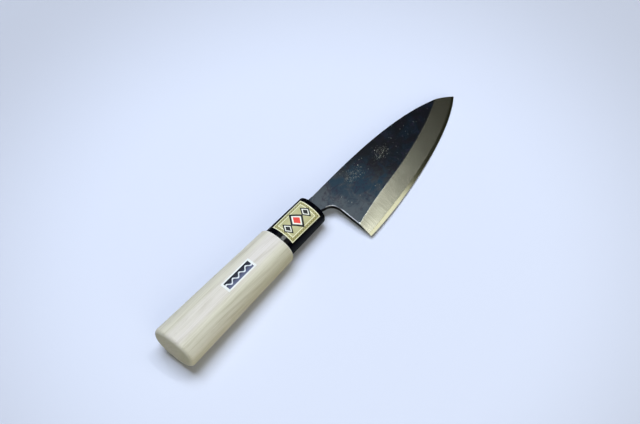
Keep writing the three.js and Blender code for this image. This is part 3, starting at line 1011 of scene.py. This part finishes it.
def gold_print(width):
    """Gold label: cream rules, a patterned band and a row of lozenges."""
    length = FERRULE_LABEL_LENGTH
    paper, u, v = printed_paper("gold_printed_label", length, width, Specular_IOR_Level=0.25)
    inside = (length / 2 - abs(u)).least(width / 2 - abs(v))
    place = paper.knife()
    sheen = paper.noise(place, (0.25, 0.35, 0.35), detail=3)
    threads = math.tau / WEAVE_PITCH
    weave = ((u * threads).sine() * (v * threads).sine()).between(0.0, 0.3)
    gold = paper.mix(sheen, (0.40, 0.36, 0.15), (0.56, 0.52, 0.26))
    band = paper.mix(weave * 0.75, gold, (0.16, 0.15, 0.05))
    field = paper.mix(sheen, (0.46, 0.43, 0.21), (0.66, 0.63, 0.38))
    cream = (0.94, 0.92, 0.70)
    white = (0.97, 0.97, 0.90)
    black = (0.006, 0.006, 0.007)
    red = (0.85, 0.06, 0.04)
    colour = paper.mix(inside.between(2.35, 2.45), band, field)
    outer_rule = inside.between(0.05, 0.1) - inside.between(0.55, 0.65)
    inner_rule = inside.between(2.1, 2.2) - inside.between(2.55, 2.65)
    colour = paper.mix(outer_rule + inner_rule, colour, cream)
    lozenges = (
        (-LOZENGE_PITCH, LOZENGE_HALF, black),
        (0.0, MIDDLE_LOZENGE_HALF, red),
        (LOZENGE_PITCH, LOZENGE_HALF, black),
    )
    for centre, half, fill in lozenges:
        lozenge = abs(u - centre) / half + abs(v) / (half + LOZENGE_WIDENING)
        colour = paper.mix(1 - lozenge.between(0.98, 1.02), colour, black)
        colour = paper.mix(1 - lozenge.between(0.68, 0.72), colour, white)
        colour = paper.mix(1 - lozenge.between(0.47, 0.51), colour, fill)
    return paper.wear(Base_Color=colour, Roughness=0.30 + sheen * 0.2, Normal=paper.bump(sheen, 0.04))


WAVE_LENGTH = 5.2
WAVE_HEIGHT = 0.9


def blue_print(width):
    """White-bordered sticker with a pale wave on a navy panel."""
    length = HANDLE_LABEL_LENGTH
    paper, u, v = printed_paper("navy_printed_sticker", length, width, Specular_IOR_Level=0.2)
    inside = (length / 2 - 0.55 - abs(u)).least(width / 2 - abs(v))
    place = paper.knife()
    mottle = paper.noise(place, (0.9, 0.9, 0.9), detail=3)
    depth = (v / width + 0.5).between(0.15, 0.7)
    navy = paper.mix(depth, (0.10, 0.115, 0.22), (0.004, 0.005, 0.018))
    wave = (u * (math.tau / WAVE_LENGTH)).sine() * WAVE_HEIGHT
    line = 1 - abs(v - wave).between(0.36, 0.50)
    colour = paper.mix(line * 0.9, navy, (0.85, 0.88, 0.96))
    white = paper.mix(mottle, (0.84, 0.85, 0.86), (0.90, 0.90, 0.91))
    colour = paper.mix(inside.between(0.82, 0.94), white, colour)
    return paper.wear(Base_Color=colour, Roughness=0.38 + mottle * 0.14, Normal=paper.bump(mottle, 0.02))


forge_scale = black_scale()
ground_iron = satin_iron()
rubbed_rim = rubbed_iron()
hard_steel = bright_steel()
dull_scale = dark_sides()
burnished_line = bright_line()

whole = ground_blade()
body = iron_body(whole)
steel = steel_layer(whole)
bpy.data.objects.remove(whole)

handle = wooden_handle()
handle.data.materials.append(sanded_wood())
ferrule = moulded_ferrule()
ferrule.data.materials.append(black_plastic())
seal = resin_seal()
seal.data.materials.append(dark_resin())

gold_x = -FERRULE_LABEL_SETBACK
gold_low = FERRULE_LABEL_MIDDLE - FERRULE_LABEL_WIDTH / 2
gold_high = FERRULE_LABEL_MIDDLE + FERRULE_LABEL_WIDTH / 2
_, gold_middle, *gold_sizes = ring_at(FERRULE_REAR, FERRULE_FRONT, gold_x)
_, gold_width = arc_places(*gold_sizes, gold_low - gold_middle, gold_high - gold_middle, LABEL_COLUMNS)
gold_label = label(
    "gold_label", FERRULE_REAR, FERRULE_FRONT, gold_x, FERRULE_LABEL_LENGTH,
    gold_low, gold_high, gold_print(gold_width),
)
blue_x = -FERRULE_LENGTH - HANDLE_LABEL_SETBACK
blue_low = HANDLE_LABEL_MIDDLE - HANDLE_LABEL_WIDTH / 2
blue_high = HANDLE_LABEL_MIDDLE + HANDLE_LABEL_WIDTH / 2
blue_label = label(
    "navy_sticker", BUTT, SHOULDER, blue_x, HANDLE_LABEL_LENGTH,
    blue_low, blue_high, blue_print(HANDLE_LABEL_WIDTH),
)

set_down(body, "blade_body")
set_down(steel, "cutting_steel", smooth=STEEL_SMOOTH_ANGLE)
set_down(handle, "handle")
set_down(ferrule, "ferrule")
set_down(seal, "tang_seal")
set_down(gold_label, "ferrule_label")
set_down(blue_label, "handle_label")
for piece in (body, steel):
    apply_modifier(piece, "WEIGHTED_NORMAL", keep_sharp=True, weight=NORMAL_WEIGHT)


# Stage

FLOOR_RADIUS = 3.0
FLOOR_POINTS = 96
SWEEP_HEIGHT = 0.9
SWEEP_STEPS = 8
FLOOR_DROP = 0.00003  # keeps the floor just clear of the knife
LIGHT_POOL_X, LIGHT_POOL_Y = -0.02, -0.01  # middle of the pool of light painted on the floor
LIGHT_POOL_REACH = (0.12, 0.26)

CAMERA_AZIMUTH = -43.933
CAMERA_ELEVATION = 57.092
CAMERA_ROLL = -7.182
CAMERA_AIM = (2.676, 6.174, 8.006)  # millimetres
CAMERA_DISTANCE = 1.06594  # metres
CAMERA_LENS = 106.875
CAMERA_SENSOR = 36


def pale_floor():
    """A wide pale floor that sweeps up at its rim, with a painted pool of light in its middle that darkens
    outwards.
    """
    bpy.ops.mesh.primitive_circle_add(vertices=FLOOR_POINTS, radius=FLOOR_RADIUS, fill_type="NGON")
    floor = named("pale_floor")
    edit(floor)
    for step in range(1, SWEEP_STEPS + 1):
        angle = math.pi / 2 * step / SWEEP_STEPS
        last_angle = math.pi / 2 * (step - 1) / SWEEP_STEPS
        pick(floor, "EDGE", lambda edge: edge.is_boundary)
        bpy.ops.mesh.extrude_edges_move(TRANSFORM_OT_translate={"value": (0, 0, 0)})
        before = FLOOR_RADIUS + SWEEP_HEIGHT * math.sin(last_angle)
        after = FLOOR_RADIUS + SWEEP_HEIGHT * math.sin(angle)
        rise = SWEEP_HEIGHT * (math.cos(last_angle) - math.cos(angle))
        bpy.ops.transform.resize(value=(after / before, after / before, 1), center_override=(0, 0, 0))
        bpy.ops.transform.translate(value=(0, 0, rise))
    done()
    floor.data.transform(Matrix.Translation((0, 0, -FLOOR_DROP)))
    paint = Finish("pale_floor_paint", Roughness=0.85, Specular_IOR_Level=0.1)
    place = paint.node("ShaderNodeTexCoord", out="Object")
    x, y, _ = paint.split(place)
    away = ((x - LIGHT_POOL_X) ** 2 + (y - LIGHT_POOL_Y) ** 2) ** 0.5
    # Painted light: brighter in a pool about the knife and darker outwards.
    seen = paint.mix(away.between(*LIGHT_POOL_REACH), (0.765, 0.795, 0.965), (0.585, 0.60, 0.71))
    rays = paint.node("ShaderNodeLightPath").socket.node.outputs
    shown = Tap(paint, rays["Is Camera Ray"]).most(Tap(paint, rays["Is Glossy Ray"]))
    shown = shown.most(Tap(paint, rays["Is Transmission Ray"]))
    colour = paint.mix(shown, (0.50, 0.47, 0.36), seen)
    floor.data.materials.append(paint.wear(Base_Color=colour))
    only(floor)
    bpy.ops.object.shade_smooth()


def soft_panel(name, place, aim, size, radiance, colour):
    """A soft light panel, by the brightness of its face."""
    lamp = bpy.data.lights.new(name, "AREA")
    lamp.shape = "RECTANGLE"
    lamp.size, lamp.size_y = size
    lamp.energy = radiance * math.pi * size[0] * size[1]
    lamp.color = colour
    panel = bpy.data.objects.new(name, lamp)
    panel.location = place
    panel.rotation_euler = (Vector(aim) - Vector(place)).to_track_quat("-Z", "Y").to_euler()
    bpy.context.scene.collection.objects.link(panel)


# Name, place, what it is aimed at, size, brightness of its face, colour
PANELS = (
    ("window_panel", (0.05, 0.32, 1.35), (0, 0, 0), (0.80, 0.90), 7.25, (0.83, 0.92, 1.0)),
    ("near_ceiling", (0.70, -0.69, 1.35), (0.70, -0.69, 0), (0.50, 1.28), 1.25, (1.0, 0.99, 0.88)),
    ("far_ceiling", (0.59, 0.32, 1.35), (0.59, 0.32, 0), (0.30, 0.60), 1.35, (0.88, 0.98, 1.0)),
    ("small_lamp", (0.527, -0.03, 1.34), (0.527, -0.03, 0), (0.05, 0.42), 40.0, (0.94, 1.0, 1.0)),
    ("warm_fill", (-0.6, -0.95, 0.7), (0, 0, 0), (1.0, 0.8), 1.85, (0.97, 0.95, 0.74)),
)
ROOM_COLOUR = (1.0, 0.95, 0.74, 1)
ROOM_STRENGTH = 0.034


def studio():
    """Floor, soft panels and a dim room around them."""
    pale_floor()
    for panel in PANELS:
        soft_panel(*panel)
    world = bpy.data.worlds.new("dim_room")
    world.use_nodes = True
    background = world.node_tree.nodes["Background"]
    background.inputs["Color"].default_value = ROOM_COLOUR
    background.inputs["Strength"].default_value = ROOM_STRENGTH
    bpy.context.scene.world = world
    bpy.context.scene.view_settings.view_transform = "Standard"


def photo_camera():
    """The photograph's viewpoint: direction, turn about its own axis and distance."""
    turns = (CAMERA_AZIMUTH, CAMERA_ELEVATION, CAMERA_ROLL)
    azimuth, elevation, roll = (math.radians(angle) for angle in turns)
    back = Vector((
        math.sin(azimuth) * math.cos(elevation),
        -math.cos(azimuth) * math.cos(elevation),
        math.sin(elevation),
    ))
    right = Vector((math.cos(azimuth), math.sin(azimuth), 0))
    up = back.cross(right)
    turned_right = right * math.cos(roll) + up * math.sin(roll)
    turned_up = up * math.cos(roll) - right * math.sin(roll)
    lens = bpy.data.cameras.new("photo_camera")
    lens.sensor_width = CAMERA_SENSOR
    lens.lens = CAMERA_LENS
    camera = bpy.data.objects.new("photo_camera", lens)
    turn = Matrix((turned_right, turned_up, back)).transposed().to_4x4()
    camera.matrix_world = Matrix.Translation(Vector(CAMERA_AIM) * MM + back * CAMERA_DISTANCE) @ turn
    bpy.context.scene.collection.objects.link(camera)
    bpy.context.scene.camera = camera


studio()
photo_camera()
